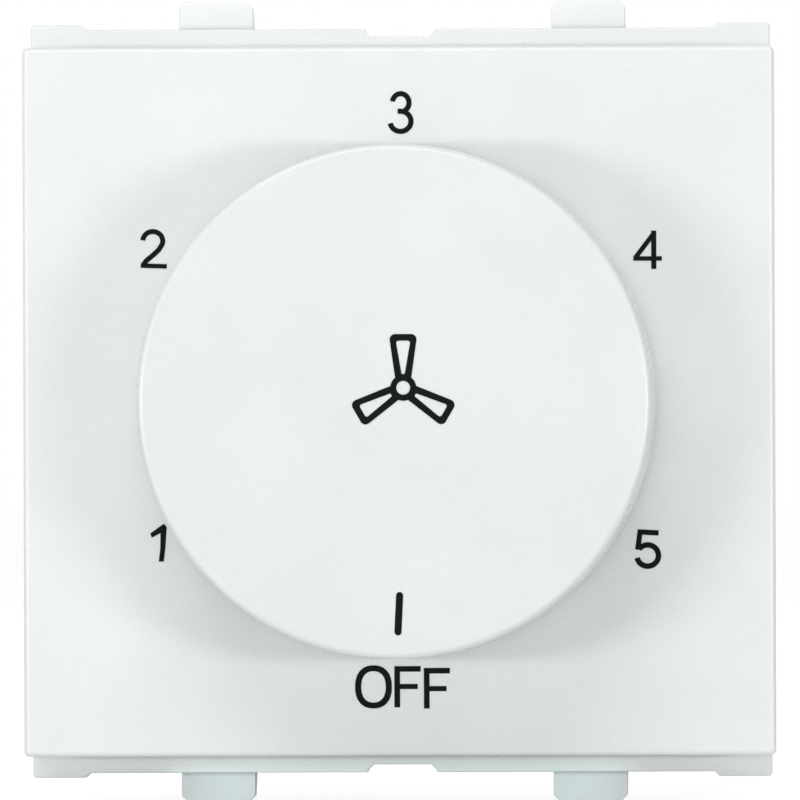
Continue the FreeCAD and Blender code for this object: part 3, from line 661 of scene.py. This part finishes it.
@dataclass
class FacePlate:
    """The front cover: face plate, skirt, flange and latch legs, in millimetres."""

    width: float = 48.12
    height: float = 45.4
    front_y: float = -7.0
    back_y: float = -5.2
    edge_round: float = 0.4
    back_round: float = 0.08
    corner_round: float = 0.35
    hole_radius: float = 4.0
    skirt_inset: float = 0.45
    skirt_wall: float = 1.6
    flange_width: float = 47.5
    flange_height: float = 47.4
    flange_y: float = -2.0
    flange_edge_round: float = 0.12
    flange_sharp_from: float = 50.0
    corner_cut: float = 0.15
    ear_width: float = 3.7
    ear_rise: float = 0.3
    ear_slope: float = 0.35
    upper_reach: float = 0.24
    lower_reach: float = 0.14
    notch_half_width: float = 2.2
    notch_depth: float = 0.5
    notch_corner: float = 0.35
    opening_width: float = 45.6
    opening_height: float = 43.2
    opening_y: float = -1.5
    opening_corner: float = 1.0
    latch_outer: float = 20.95
    latch_wall: float = 1.3
    latch_half_width: float = 3.0
    latch_height: float = 10.0
    latch_end_y: float = 7.3
    latch_end_cut: float = 0.65
    nib_y: float = 3.5
    nib_reach: float = 1.0
    nib_land: float = 0.6
    nib_end_y: float = 6.5
    gusset_reach: float = 1.8
    gusset_half_width: float = 0.55
    gusset_end_y: float = -1.5

    def face(self) -> BMesh:
        """Make the face plate with its rounded corners and edges.

        Returns:
            The mesh work.
        """
        work = bmesh.new()
        x = self.width / 2
        z = self.height / 2
        add_block(work, (-x, self.front_y, -z), (x, self.back_y, z))
        bevel(work, deep_edges(work), self.corner_round, 6)
        bevel(work, edges_at(work, self.front_y), self.edge_round, 8)
        bevel(work, edges_at(work, self.back_y), self.back_round, 2)
        return work

    def hole(self) -> BMesh:
        """Make the cutting shape of the shaft's hole.

        Returns:
            The mesh work.
        """
        work = bmesh.new()
        rim = arc((0.0, 0.0), self.hole_radius, self.hole_radius, 0.0, 360.0, 96)[:-1]
        draw_outline(work, rim, self.front_y - OVERRUN, self.back_y + OVERRUN)
        return work

    def skirt(self, work: BMesh) -> None:
        """Add the four walls between the face plate and the flange.

        Args:
            work: The mesh work.
        """
        outlines = []
        for inset in (self.skirt_inset, self.skirt_inset + self.skirt_wall):
            x = self.width / 2 - inset
            z = self.height / 2 - inset
            outlines.append([(-x, -z), (x, -z), (x, z), (-x, z)])
        draw_band(work, tuple(outlines), self.back_y - LAP, self.flange_y + LAP)

    def flange(self) -> BMesh:
        """Make the flange with an ear at each corner and a notch in each long edge.

        Returns:
            The mesh work.
        """
        x = self.flange_width / 2
        z = self.flange_height / 2
        top = z + self.ear_rise
        quarter = [
            (self.notch_half_width - self.notch_corner, z - self.notch_depth),
            (self.notch_half_width, z - self.notch_depth + self.notch_corner),
            (self.notch_half_width, z),
            (x - self.ear_width, z),
            (x - self.ear_width + self.ear_slope, top),
            (x - self.corner_cut, top),
            (x, top - self.corner_cut),
        ]
        right = quarter + [(across, -up) for across, up in reversed(quarter)]
        outline = right + [(-across, up) for across, up in reversed(right)]
        outline = [(across, up + (self.upper_reach if up > 0 else -self.lower_reach))
                   for across, up in outline]
        work = bmesh.new()
        draw_outline(work, outline, self.flange_y, 0.0)
        bmesh.ops.recalc_face_normals(work, faces=work.faces)
        sharp = [edge for edge in work.edges
                 if edge.calc_face_angle(0.0) > math.radians(self.flange_sharp_from)]
        bevel(work, sharp, self.flange_edge_round, 3)
        return work

    def openings(self) -> list[BMesh]:
        """Make the cutting shapes of the flange's opening and of the housing's rebate.

        Returns:
            The shapes.
        """
        x = self.width / 2 - self.skirt_inset - self.skirt_wall
        z = self.height / 2 - self.skirt_inset - self.skirt_wall
        through = bmesh.new()
        add_block(through, (-x, self.flange_y - OVERRUN, -z), (x, OVERRUN, z))
        rebate = bmesh.new()
        add_block(rebate, (-self.opening_width / 2, self.opening_y, -self.opening_height / 2),
                  (self.opening_width / 2, OVERRUN, self.opening_height / 2))
        bevel(rebate, deep_edges(rebate), self.opening_corner, 1)
        return [through, rebate]

    def latch(self, work: BMesh, side: float, level: float) -> None:
        """Add one latch leg with its nib and gusset.

        Args:
            work: The mesh work.
            side: 1 for the right, -1 for the left.
            level: 1 for the upper, -1 for the lower.
        """
        outer = self.latch_outer
        inner = outer - self.latch_wall
        root_y = self.back_y - LAP
        leg = [(inner, root_y), (outer, root_y), (outer, self.nib_y),
               (outer + self.nib_reach, self.nib_y),
               (outer + self.nib_reach, self.nib_y + self.nib_land), (outer, self.nib_end_y),
               (outer, self.latch_end_y), (inner + self.latch_end_cut, self.latch_end_y),
               (inner, self.nib_end_y)]
        gusset = [(inner - self.gusset_reach, root_y), (inner + LAP, root_y),
                  (inner + LAP, self.gusset_end_y)]
        for profile, half in ((leg, self.latch_half_width), (gusset, self.gusset_half_width)):
            low_z = level * self.latch_height - half
            low = [work.verts.new((side * x * MM, y * MM, low_z * MM)) for x, y in profile]
            draw_out(work, [work.faces.new(low)], (0.0, 0.0, 2 * half))

    def build(self) -> None:
        """Build the pierced plate, the opened flange, and the skirt with its latches."""
        replaced = ("front_cover",)
        plate = piece_from(self.face(), "face_plate", COVER_PLASTIC, Body.HOUSING, replaced)
        cut_by(plate, [self.hole()])
        rim = piece_from(self.flange(), "cover_flange", COVER_PLASTIC, Body.HOUSING, replaced)
        cut_by(rim, self.openings())
        walls = bmesh.new()
        self.skirt(walls)
        for side in (-1.0, 1.0):
            for level in (-1.0, 1.0):
                self.latch(walls, side, level)
        piece_from(walls, "cover_skirt", COVER_PLASTIC, Body.HOUSING, replaced)


@dataclass
class DialKnob:
    """The round dial, hollow behind, with its boss and ribs, in millimetres."""

    front_y: float = -17.0
    rear_y: float = -7.4
    radius: float = 16.45
    front_radius: float = 16.34
    edge_round: float = 0.42
    rear_round: float = 0.25
    wall: float = 1.5
    wall_cut: float = 0.2
    face_thickness: float = 1.6
    face_fillet: float = 0.5
    boss_radius: float = 5.6
    boss_cut: float = 0.15
    shaft_radius: float = 3.0
    rib_count: int = 6
    rib_thickness: float = 1.0
    rib_end_y: float = -8.8
    steps: int = 192

    def shell_profile(self) -> list[Point]:
        """List the shell's profile from the axis over the rounded rim to the inside.

        Returns:
            The (radius, depth) points.
        """
        beside = 2 * LAP
        inner = self.radius - self.wall
        face_rear_y = self.front_y + self.face_thickness
        front = rounding(self.front_radius, self.front_y, self.edge_round, 12)
        rear = rounding(self.radius, self.rear_y, -self.rear_round, 4)
        return [
            (0.0, self.front_y),
            *front,
            (self.front_radius, self.front_y + self.edge_round + beside),
            (self.radius, self.rear_y - self.rear_round - beside),
            *reversed(rear),
            (inner + self.wall_cut, self.rear_y),
            (inner, self.rear_y - self.wall_cut),
            (inner, face_rear_y + self.face_fillet),
            (inner - self.face_fillet, face_rear_y),
            (0.0, face_rear_y),
        ]

    def build(self) -> None:
        """Build the shell, then the boss with its socket and the ribs inside."""
        shell = bmesh.new()
        spin(shell, self.shell_profile(), self.steps)
        piece_from(shell, "dial_shell", KNOB_PLASTIC, Body.DIAL, ("knob",))
        inside = bmesh.new()
        lap = 2 * LAP
        root_y = self.front_y + self.face_thickness - lap
        spin(inside, [(self.shaft_radius, self.rear_y),
                      (self.boss_radius - self.boss_cut, self.rear_y),
                      (self.boss_radius, self.rear_y - self.boss_cut),
                      (self.boss_radius, root_y), (self.shaft_radius, root_y)],
             self.steps, closed=True)
        half = self.rib_thickness / 2
        for index in range(self.rib_count):
            verts = add_block(inside, (self.boss_radius - lap, root_y, -half),
                              (self.radius - self.wall + lap, self.rib_end_y, half))
            turn = Matrix.Rotation(2 * math.pi * (index + 0.5) / self.rib_count, 3, "Y")
            bmesh.ops.rotate(inside, verts=verts, matrix=turn)
        piece_from(inside, "dial_boss", KNOB_PLASTIC, Body.DIAL, ("knob",))


@dataclass(frozen=True)
class Stroke:
    """A printed stroke of even width: its middle line from a corner, in millimetres."""

    corner: Point
    path: list[Point]
    width: float
    films: float = 1.0
    sharpest: float = 0.35

    def outline(self) -> list[Point]:
        """Trace the stroke, with mitred bends.

        Returns:
            Its outline.
        """
        points = [Vector((self.corner[0] + x, self.corner[1] + z)) for x, z in self.path]
        ways = [(end - start).normalized() for start, end in zip(points, points[1:])]
        left = []
        right = []
        for index, point in enumerate(points):
            ahead = ways[min(index, len(ways) - 1)]
            mean = (ahead + ways[max(index - 1, 0)]).normalized()
            reach = self.width / 2 / max(mean.dot(ahead), self.sharpest)
            side = Vector((-mean.y, mean.x)) * reach
            left.append(tuple(point + side))
            right.append(tuple(point - side))
        return left + right[::-1]


@dataclass(frozen=True)
class RoundedShape:
    """A polygon with rounded corners, in millimetres."""

    corners: tuple[Point, ...]
    radii: tuple[float, ...]
    steps: int = 6

    def turned(self, degrees: float, hub: Point) -> list[Vector]:
        """List the shape's points after a turn about its origin.

        Args:
            degrees: The turn.
            hub: Where its origin lies, as (x, z).

        Returns:
            The points.
        """
        turn = Matrix.Rotation(math.radians(degrees), 2)
        points = []
        for index, (corner, radius) in enumerate(zip(self.corners, self.radii)):
            here = Vector(corner)
            back = (Vector(self.corners[index - 1]) - here).normalized()
            ahead = (Vector(self.corners[(index + 1) % len(self.corners)]) - here).normalized()
            half = back.angle(ahead) / 2
            middle = here + (back + ahead).normalized() * (radius / math.sin(half))
            first = here + back * (radius / math.tan(half)) - middle
            last = here + ahead * (radius / math.tan(half)) - middle
            for step in range(self.steps + 1):
                share = step / self.steps
                spoke = (first * (1 - share) + last * share).normalized() * radius
                points.append(Vector(hub) + turn @ (middle + spoke))
        return points


THREE = (-0.565, 17.1)
TWO = (-16.541, 8.542)
FOUR = (15.042, 8.405)
FIVE = (15.045, -10.767)
OFF = (0.0, 0.0)
# Strokes that cross lie in films of unlike thickness, so that they don't share a face.
STROKES = (
    Stroke(THREE, arc((0.755, 2.0), 0.53, 0.58, 172.0, -62.0, 28), 0.33),
    Stroke(THREE, [(0.56, 1.455), (0.7, 1.457)]
           + arc((0.74, 0.81), 0.67, 0.645, 88.0, -169.0, 32)[1:], 0.33, 1.15),
    Stroke(TWO, arc((0.825, 1.77), 0.637, 0.606, 176.0, -22.0, 26)
           + [(1.2, 1.2), (0.81, 0.84), (0.42, 0.52), (0.22, 0.27)], 0.32),
    Stroke(TWO, [(0.045, 0.2), (1.715, 0.145)], 0.285, 1.15),
    Stroke(FOUR, [(1.305, 0.0), (1.305, 2.45)], 0.325),
    Stroke(FOUR, [(1.375, 2.36), (0.125, 0.72)], 0.295, 1.15),
    Stroke(FOUR, [(0.0, 0.672), (1.82, 0.672)], 0.28, 1.3),
    Stroke(FIVE, [(1.55, 2.29), (0.365, 2.355), (0.215, 1.22)], 0.335),
    Stroke(FIVE, arc((0.85, 0.845), 0.69, 0.68, 143.0, -168.0, 34), 0.35, 1.15),
    Stroke(OFF, [(1.34, -17.124), (-0.161, -17.124), (-0.161, -19.58)], 0.36),
    Stroke(OFF, [(-0.061, -18.25), (1.15, -18.25)], 0.33, 1.15),
    Stroke(OFF, [(3.21, -17.245), (1.727, -17.245), (1.727, -19.667)], 0.36),
    Stroke(OFF, [(1.827, -18.39), (2.99, -18.39)], 0.33, 1.15),
)


@dataclass
class PrintedMarks:
    """The numbers and the word OFF on the plate, the fan figure and the pointer on the dial."""

    plate_y: float = -7.0
    dial_y: float = -17.0
    film: float = 0.03
    one_corner: Point = (-15.946, -10.207)
    one_outline: tuple[Point, ...] = (
        (0.54, 0.0), (0.86, 0.0), (0.96, 0.82), (1.06, 2.2), (0.88, 2.42), (0.0, 1.8),
        (0.1, 1.53), (0.66, 1.83), (0.64, 0.82))
    letter_o: Point = (-1.68, -18.27)
    letter_halves: tuple[Point, Point] = ((1.176, 1.38), (0.785, 1.0))
    letter_squareness: float = 2.3
    hub: Point = (0.605, 0.853)
    hub_radius: float = 0.824
    hub_hole_radius: float = 0.44
    hub_films: float = 1.4
    blade: RoundedShape = RoundedShape(
        ((-0.49, 0.49), (0.49, 0.49), (0.905, 3.41), (-0.905, 3.41)), (0.05, 0.05, 0.34, 0.34))
    blade_hole: RoundedShape = RoundedShape(
        ((-0.1, 0.88), (0.1, 0.88), (0.465, 2.99), (-0.465, 2.99)), (0.05, 0.05, 0.15, 0.15))
    pointer_half: float = 0.225
    pointer_top: Point = (0.332, -12.316)
    pointer_low: Point = (0.221, -14.617)

    def film_depths(self, surface_y: float, films: float = 1.0) -> Point:
        """List the depths between which a print lies, from its face to just under the surface."""
        return surface_y - self.film * films, surface_y + self.film / 2

    def plate_marks(self) -> BMesh:
        """Print the numbers and the word.

        Returns:
            The mesh work.
        """
        work = bmesh.new()
        for stroke in STROKES:
            draw_outline(work, stroke.outline(), *self.film_depths(self.plate_y, stroke.films))
        x, z = self.one_corner
        draw_outline(work, [(x + across, z + up) for across, up in self.one_outline],
                     *self.film_depths(self.plate_y))
        rims = tuple(arc(self.letter_o, across, up, 0.0, 360.0, 72, self.letter_squareness)[:-1]
                     for across, up in self.letter_halves)
        draw_band(work, rims, *self.film_depths(self.plate_y))
        return work

    def dial_marks(self) -> BMesh:
        """Print the fan figure, a hub ring with three hollow blades, and the round-ended pointer.

        Returns:
            The mesh work.
        """
        work = bmesh.new()
        rims = tuple(arc(self.hub, radius, radius, 0.0, 360.0, 48)[:-1]
                     for radius in (self.hub_radius, self.hub_hole_radius))
        draw_band(work, rims, *self.film_depths(self.dial_y, self.hub_films))
        for degrees in (0.0, 120.0, 240.0):
            rims = tuple(shape.turned(degrees, self.hub) for shape in (self.blade, self.blade_hole))
            draw_band(work, rims, *self.film_depths(self.dial_y))
        half = self.pointer_half
        top = self.pointer_top
        low = self.pointer_low
        lean = math.degrees(math.atan2(top[1] - low[1], top[0] - low[0]))
        outline = arc(top, half, half, lean - 90.0, lean + 90.0, 12)
        outline += arc(low, half, half, lean + 90.0, lean + 270.0, 12)
        draw_outline(work, outline, *self.film_depths(self.dial_y))
        return work

    def build(self) -> None:
        """Print every mark."""
        piece_from(self.plate_marks(), "plate_print", MARK_INK, Body.HOUSING)
        piece_from(self.dial_marks(), "dial_print", MARK_INK, Body.DIAL)


@dataclass
class SoftenedPiece:
    """A moulded, cased or stamped piece: its CAD shape with the edges softened, in millimetres."""

    node: str
    finish: Finish
    body: Body
    width: float
    segments: int = 2
    soften_from: float = 28.0
    sharp_from: float = 40.0
    weld: float = 0.002
    flat_within: float = 1.0
    tips_from: float = 100.0
    tips_reach: float = 0.0

    def build(self, nodes: dict[str, Object]) -> None:
        """Copy the node's shape, join its flat faces and soften its edges.

        Args:
            nodes: The frame's CAD nodes by name.
        """
        source = nodes[self.node]
        work = bmesh.new()
        work.from_mesh(source.data)
        bmesh.ops.transform(work, matrix=source.matrix_world, verts=work.verts)
        bmesh.ops.remove_doubles(work, verts=work.verts, dist=self.weld * MM)
        bmesh.ops.dissolve_limit(work, angle_limit=math.radians(self.flat_within),
                                 verts=work.verts, edges=work.edges)
        for vert in work.verts:
            if abs(vert.co.z) > self.tips_from * MM:
                vert.co.z += math.copysign(self.tips_reach * MM, vert.co.z)
        piece = piece_from(work, self.node + "_soft", self.finish, self.body, (self.node,))
        soften = piece.modifiers.new("soften", "BEVEL")
        soften.width = self.width * MM
        soften.segments = self.segments
        soften.limit_method = "ANGLE"
        soften.angle_limit = math.radians(self.soften_from)
        settle(piece)
        smooth_by_angle(piece.data, self.sharp_from)


@dataclass
class TerminalScrew:
    """A terminal screw with a slotted and crossed cheese head and a real thread, in millimetres."""

    x: float
    body: Body
    node: str
    z: float = -15.31
    seat_y: float = 25.95
    head_radius: float = 3.2
    head_height: float = 2.3
    head_round: float = 0.45
    seat_cut: float = 0.15
    shank_radius: float = 1.66
    root_radius: float = 1.3
    shank_length: float = 8.6
    tip_cut: float = 0.5
    pitch: float = 0.6
    crest: float = 0.15
    turns: int = 12
    turn_steps: int = 24
    slot_width: float = 0.9
    slot_depth: float = 1.2
    cross_half: float = 2.0
    steps: int = 40

    def head(self) -> BMesh:
        """Make the head and the smooth core of the shank.

        Returns:
            The mesh work.
        """
        rear = self.seat_y + self.head_height
        tip = self.seat_y - self.shank_length
        work = bmesh.new()
        spin(work, [
            (0.0, rear),
            *rounding(self.head_radius, rear, -self.head_round, 5),
            (self.head_radius, self.seat_y + self.seat_cut),
            (self.head_radius - self.seat_cut, self.seat_y),
            (self.root_radius, self.seat_y),
            (self.root_radius, tip + self.tip_cut),
            (self.root_radius - self.tip_cut, tip),
            (0.0, tip),
        ], self.steps, (self.x, self.z))
        return work

    def slots(self) -> list[BMesh]:
        """Make the cutting shapes of the slot and of the cross slot.

        Returns:
            The shapes.
        """
        rear = self.seat_y + self.head_height
        half = self.slot_width / 2
        tools = []
        for half_x, half_z in ((half, self.head_radius + OVERRUN), (self.cross_half, half)):
            tool = bmesh.new()
            add_block(tool, (self.x - half_x, rear - self.slot_depth, self.z - half_z),
                      (self.x + half_x, rear + OVERRUN, self.z + half_z))
            tools.append(tool)
        return tools

    def thread(self) -> BMesh:
        """Wind the thread round the shank as one helical ridge.

        Returns:
            The mesh work.
        """
        start = self.seat_y - self.shank_length + self.tip_cut
        flank = self.pitch / 2
        root = self.root_radius - LAP
        profile = [(root, start), (self.shank_radius, start + flank * (1 - self.crest)),
                   (self.shank_radius, start + flank * (1 + self.crest)),
                   (root, start + self.pitch)]
        work = bmesh.new()
        spin(work, profile, self.turn_steps, (self.x, self.z), False, self.turns, self.pitch)
        return work

    def build(self) -> None:
        """Build the screw's slotted head and its thread."""
        piece = piece_from(self.head(), self.node + "_head", PLATED_STEEL, self.body, (self.node,))
        cut_by(piece, self.slots())
        piece_from(self.thread(), self.node + "_thread", PLATED_STEEL, self.body, (self.node,))


@dataclass(frozen=True)
class Works:
    """CAD nodes that keep their own shape and share a finish."""

    finish: Finish
    names: tuple[str, ...]

    def build(self, nodes: dict[str, Object]) -> None:
        """Give each of the nodes the finish.

        Args:
            nodes: The frame's CAD nodes by name.
        """
        material = self.finish.material()
        for name in self.names:
            node = nodes[name]
            if not node.material_slots:
                node.data.materials.append(material)
            for slot in node.material_slots:
                slot.material = material
            LOG.info("%s: %s", name, self.finish.name)


@dataclass(frozen=True)
class SoftLamp:
    """A rectangular lamp, in metres, watts and degrees."""

    name: str
    place: Triple
    width: float
    height: float
    power: float
    aim: Triple = STUDIO_TARGET
    spread: float = 180.0
    colour: Triple = (1.0, 1.0, 1.0)

    def hang(self) -> None:
        """Add the lamp to the scene, facing its aim."""
        data = bpy.data.lights.new(self.name, "AREA")
        data.shape = "RECTANGLE"
        data.size = self.width
        data.size_y = self.height
        data.energy = self.power
        data.spread = math.radians(self.spread)
        data.color = self.colour
        lamp = bpy.data.objects.new(self.name, data)
        bpy.context.collection.objects.link(lamp)
        lamp.location = self.place
        way = Vector(self.aim) - lamp.location
        lamp.rotation_euler = way.to_track_quat("-Z", "Y").to_euler()


LAMPS = (
    SoftLamp("left_lamp", (-0.42, -0.56, 0.0), 0.24, 0.045, 1.04),
    SoftLamp("right_lamp", (0.42, -0.56, 0.0), 0.24, 0.045, 0.97),
    SoftLamp("top_lamp", (-0.06, -0.24, 0.3), 0.3, 0.2, 0.62),
    SoftLamp("back_lamp", (0.35, 0.8, 0.45), 0.5, 0.5, 2.2),
    # Lifts the lower tabs and the flange's lower edge, which the plate shades.
    SoftLamp("low_lamp", (0.0, -0.0065, -0.0252), 0.029, 0.0005, 0.000085,
             (0.0, 0.0021, -0.025), 60.0, (0.72, 1.0, 1.0)),
)


@dataclass
class Studio:
    """Camera, lamps, white surroundings and the pale floor, in metres and degrees."""

    yaw: float = 1.83
    roll: float = 0.2
    distance: float = 1.1
    frame_width: float = 0.05118
    sensor_width: float = 36.0
    floor_z: float = -0.0258
    floor_half: float = 3.0
    ambient: float = 0.38
    floor_white: float = 0.8
    floor_glow: float = 1.14

    def camera(self) -> None:
        """Place the camera straight in front, a little to the right."""
        data = bpy.data.cameras.new("front_camera")
        data.sensor_width = self.sensor_width
        data.lens = self.sensor_width * self.distance / self.frame_width
        data.clip_start = 0.01
        camera = bpy.data.objects.new("front_camera", data)
        bpy.context.collection.objects.link(camera)
        angle = math.radians(self.yaw)
        target = Vector(STUDIO_TARGET)
        place = target + Vector((math.sin(angle), -math.cos(angle), 0.0)) * self.distance
        aim = (target - place).to_track_quat("-Z", "Y").to_matrix().to_4x4()
        roll = Matrix.Rotation(math.radians(-self.roll), 4, "Z")
        camera.matrix_world = Matrix.Translation(place) @ aim @ roll
        bpy.context.scene.camera = camera

    def surroundings(self) -> None:
        """Light the switch from all round and show white behind it."""
        board = NodeBoard(bpy.data.worlds.new("studio"))
        soft = board.add("ShaderNodeBackground")
        soft.inputs["Color"].default_value = (0.985, 0.99, 0.985, 1.0)
        soft.inputs["Strength"].default_value = self.ambient
        white = board.add("ShaderNodeBackground")
        white.inputs["Color"].default_value = grey(1.0)
        rays = board.add("ShaderNodeLightPath")
        seen = rays.outputs["Is Camera Ray"]
        for kind in ("Is Glossy Ray", "Is Transmission Ray"):
            either = board.add("ShaderNodeMath", operation="MAXIMUM")
            board.join(seen, either.inputs[0])
            board.join(rays.outputs[kind], either.inputs[1])
            seen = either.outputs[0]
        mix = board.add("ShaderNodeMixShader")
        output = board.add("ShaderNodeOutputWorld")
        board.join(seen, mix.inputs[0])
        board.join(soft.outputs[0], mix.inputs[1])
        board.join(white.outputs[0], mix.inputs[2])
        board.join(mix.outputs[0], output.inputs["Surface"])
        bpy.context.scene.world = board.owner

    def floor_material(self) -> Material:
        """Make the floor's paper: mostly white to the camera, with the switch's shadow kept.

        Returns:
            The new material.
        """
        board = NodeBoard(bpy.data.materials.new("studio_paper"))
        paper = board.add("ShaderNodeBsdfDiffuse")
        board.ramp(board.noise(60.0, 4.0), [(0.3, srgb(244, 245, 245)), (0.7, srgb(249, 250, 250))],
                   paper.inputs["Color"])
        glow = board.add("ShaderNodeEmission")
        glow.inputs["Strength"].default_value = self.floor_glow
        rays = board.add("ShaderNodeLightPath")
        share = board.add("ShaderNodeMath", operation="MULTIPLY")
        share.inputs[1].default_value = self.floor_white
        board.join(rays.outputs["Is Camera Ray"], share.inputs[0])
        mix = board.add("ShaderNodeMixShader")
        board.join(share.outputs[0], mix.inputs[0])
        board.join(paper.outputs[0], mix.inputs[1])
        board.join(glow.outputs[0], mix.inputs[2])
        output = board.add("ShaderNodeOutputMaterial")
        board.join(mix.outputs[0], output.inputs["Surface"])
        return board.owner

    def floor(self) -> None:
        """Lay the pale floor under the lowest tabs."""
        work = bmesh.new()
        bmesh.ops.create_grid(work, x_segments=1, y_segments=1, size=self.floor_half)
        bmesh.ops.translate(work, verts=work.verts, vec=(0.0, 0.0, self.floor_z))
        floor = object_from(work, "studio_floor")
        floor.data.materials.append(self.floor_material())

    def build(self) -> None:
        """Set up the whole studio."""
        self.camera()
        self.surroundings()
        self.floor()
        for lamp in LAMPS:
            lamp.hang()
        bpy.context.scene.view_settings.view_transform = "Standard"


WORKS = (
    Works(SPRING_STEEL, ("knob_grip_spring", "detent_spring")),
    Works(ROTOR_PLASTIC, ("rotor_spindle",)),
    Works(CONTACT_BRONZE, ("contact_bridge", "common_contact",
                           *("speed_contact_%d" % index for index in range(1, 6)))),
    Works(SWITCH_PLASTIC, ("switch_base", "switch_cover")),
    Works(BOARD_LAMINATE, ("circuit_board",)),
    Works(PLATED_STEEL, ("board_screws",)),
    Works(BLEED_LACQUER, ("bleed_resistor",)),
    Works(SURGE_LACQUER, ("surge_resistor",)),
    Works(TERMINAL_BRASS, ("terminal_plate_right", "terminal_plate_left")),
)
SOFTENED = (
    SoftenedPiece("rear_housing", HOUSING_PLASTIC, Body.HOUSING, 0.22, 3, tips_from=24.7,
                  tips_reach=0.27),
    SoftenedPiece("large_capacitor", CAPACITOR_RESIN, Body.HOUSING, 0.3, 3),
    SoftenedPiece("small_capacitor", CAPACITOR_RESIN, Body.HOUSING, 0.3, 3),
    SoftenedPiece("clamp_plate_right", PLATED_STEEL, Body.CLAMP_RIGHT, 0.15),
    SoftenedPiece("clamp_plate_left", PLATED_STEEL, Body.CLAMP_LEFT, 0.15),
)
SCREWS = (
    TerminalScrew(11.05, Body.SCREW_RIGHT, "terminal_screw_right"),
    TerminalScrew(-11.05, Body.SCREW_LEFT, "terminal_screw_left"),
)


def main() -> None:
    """Build the studio and every piece, in order, and note the sizes."""
    logging.basicConfig(level=logging.INFO, format="%(message)s")
    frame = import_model()
    Studio().build()
    nodes = frame["nodes"]
    for works in WORKS:
        works.build(nodes)
    for piece in SOFTENED:
        piece.build(nodes)
    for screw in SCREWS:
        screw.build()
    FacePlate().build()
    DialKnob().build()
    PrintedMarks().build()


if __name__ == "__main__":
    main()
